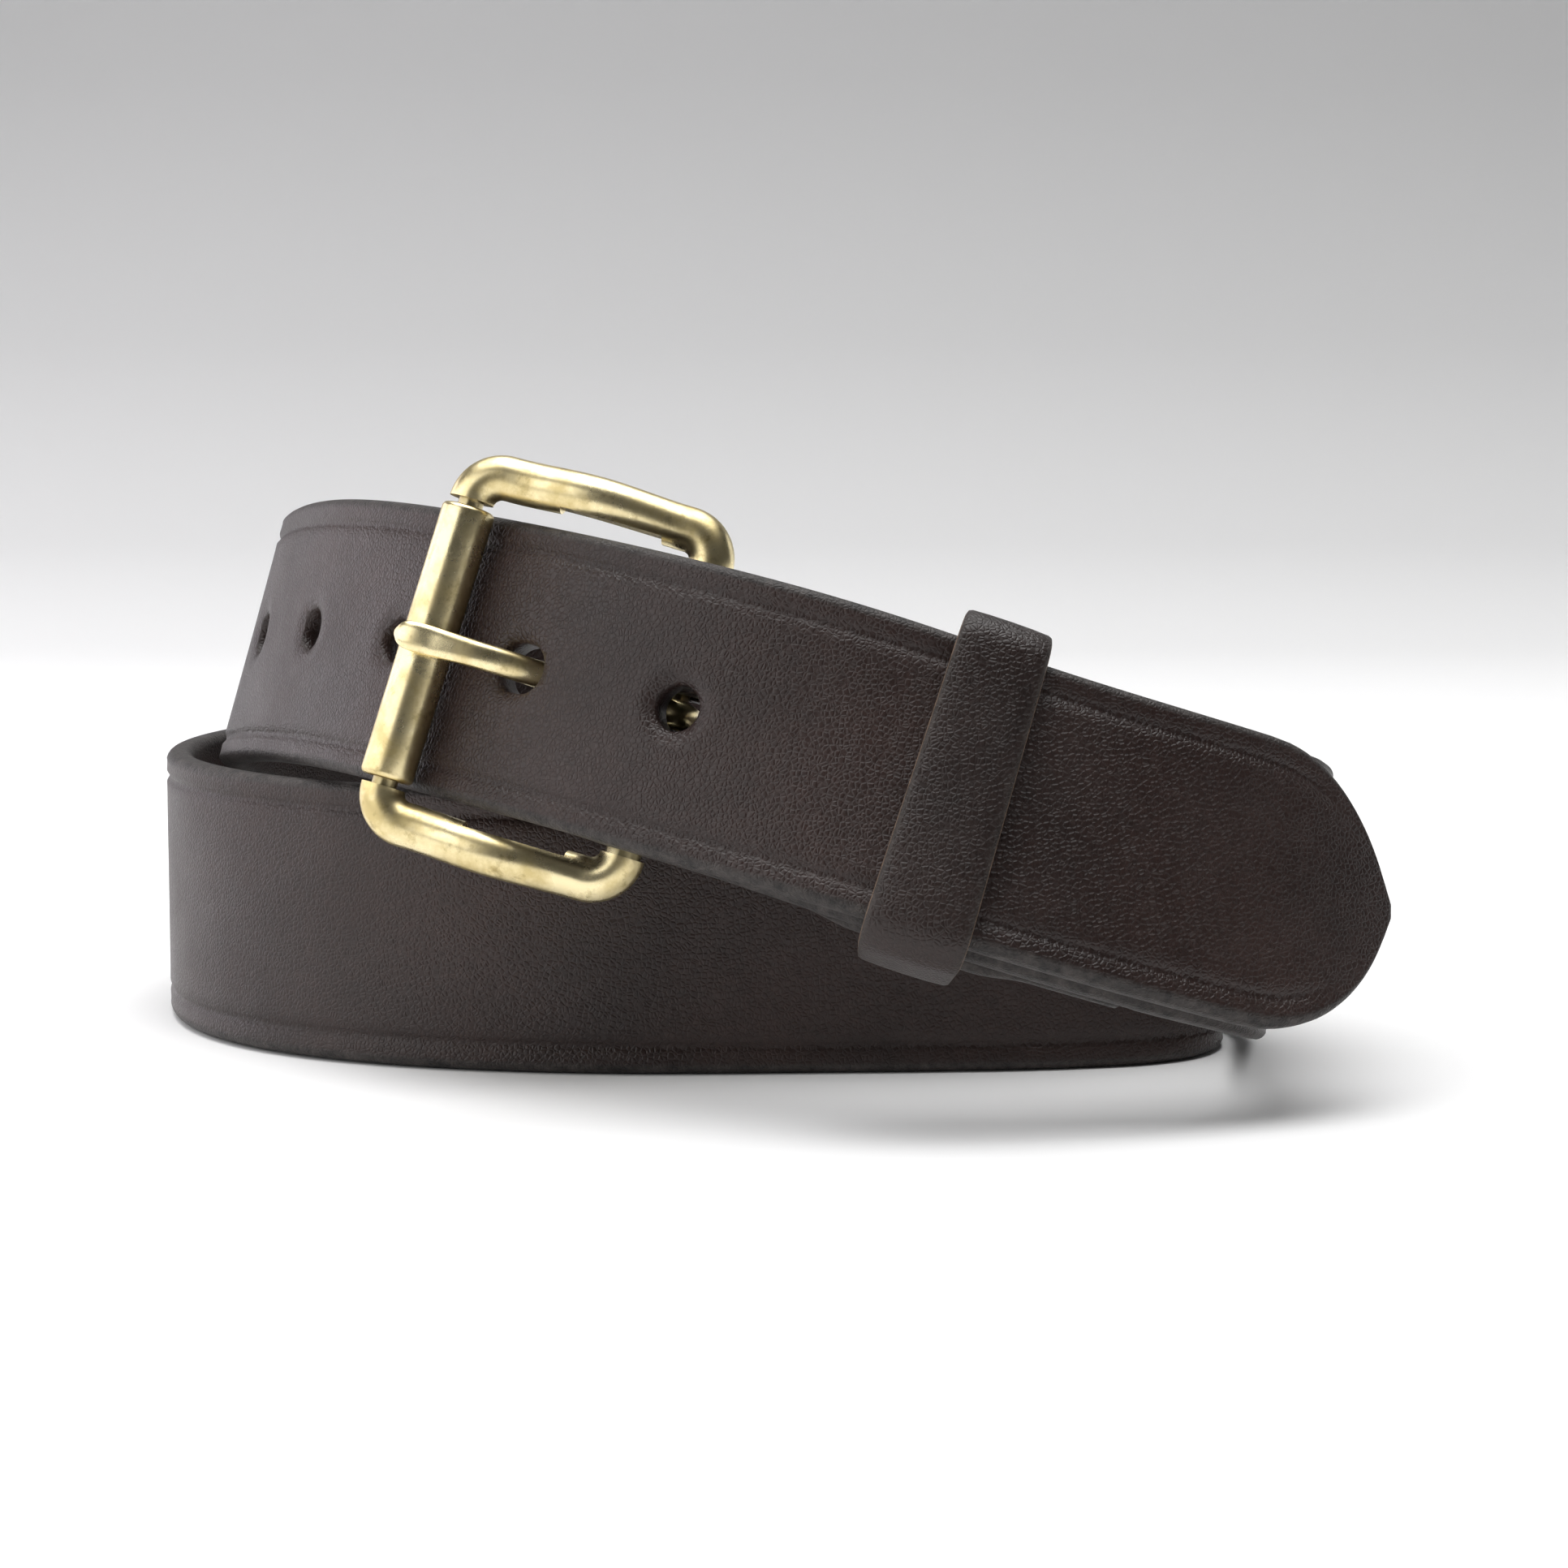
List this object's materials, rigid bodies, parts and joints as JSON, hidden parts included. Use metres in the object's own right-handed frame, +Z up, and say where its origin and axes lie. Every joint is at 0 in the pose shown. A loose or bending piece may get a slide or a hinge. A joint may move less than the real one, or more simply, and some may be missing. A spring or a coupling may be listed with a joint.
{
  "type": "leather belt",
  "caption": "Buckled leather dress belt wound twice and standing on its edge, with a roller buckle, punched strap end and keeper loop.",
  "frame": {"origin": "on the floor plane, under the middle of the coil's plan", "axes": "+Z up; +X to the right along the buckled front; +Y from the front to the back of the coil"},
  "size_m": [0.1708, 0.183, 0.0831],
  "materials": {
    "belt_leather": "satin",
    "keeper_leather": "satin",
    "antique_brass": "satin",
    "fastener_brass": "satin",
    "staple_steel": "satin"
  },
  "bodies": {
    "belt": {"strap": "belt_leather", "screw_posts": "fastener_brass", "screws": "fastener_brass"},
    "buckle": {"buckle_frame": "antique_brass"},
    "roller_tube": {"roller": "antique_brass"},
    "prong_bar": {"prong": "antique_brass"},
    "keeper_loop": {"keeper": "keeper_leather", "keeper_staple": "staple_steel"}
  },
  "joints": [
    {"name": "buckle_pivot", "type": "hinge", "parent": "belt", "child": "buckle", "pos_m": [-0.00819, -0.05769, 0.05001], "axis": [0.2886, 0.1644, 0.9432], "range_deg": [0, 1]},
    {"name": "prong_pivot", "type": "hinge", "parent": "buckle", "child": "prong_bar", "pos_m": [-0.00819, -0.05769, 0.05001], "axis": [0.2886, 0.1644, 0.9432], "range_deg": [0, 0.5]},
    {"name": "roller_spin", "type": "hinge", "parent": "buckle", "child": "roller_tube", "pos_m": [-0.03974, -0.05144, 0.05859], "axis": [0.2886, 0.1644, 0.9432], "continuous": true},
    {"name": "keeper_slide", "type": "slide", "parent": "belt", "child": "keeper_loop", "axis": [0.9531, -0.0562, -0.2975], "range_m": [-0.0008, 0.0008]}
  ]
}
